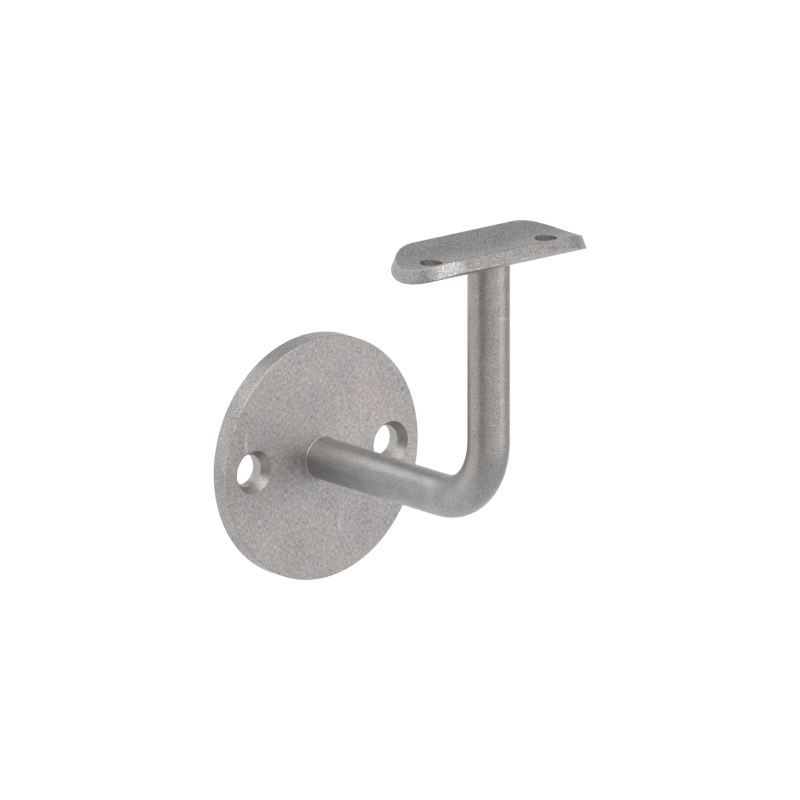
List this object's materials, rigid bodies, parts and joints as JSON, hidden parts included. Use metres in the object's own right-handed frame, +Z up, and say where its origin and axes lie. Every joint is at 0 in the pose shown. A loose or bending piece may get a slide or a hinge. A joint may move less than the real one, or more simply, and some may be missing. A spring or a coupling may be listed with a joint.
{
  "type": "handrail bracket",
  "caption": "Wall bracket for a round handrail: a round screw plate, a bent rod and a curved saddle that is screwed to the rail from below.",
  "frame": {"origin": "centre of the wall plate's back face, where it meets the wall", "axes": "+Y into the wall, +X along the rail, +Z up; the bracket reaches out from the wall along -Y"},
  "size_m": [0.07, 0.092, 0.1132],
  "materials": {
    "plate_steel": "mill grain, unpolished, with a fine upright grain and faint cloudy patches",
    "rod_steel": "drawn bar, satin, with faint scratches",
    "weld_steel": "weld ground flush",
    "saddle_steel": "smooth in the seat, grainy on the cut edge"
  },
  "bodies": {
    "root": {"wall_plate": "plate_steel", "bent_rod": "rod_steel", "plate_weld": "weld_steel", "rail_saddle": "saddle_steel"}
  },
  "joints": []
}
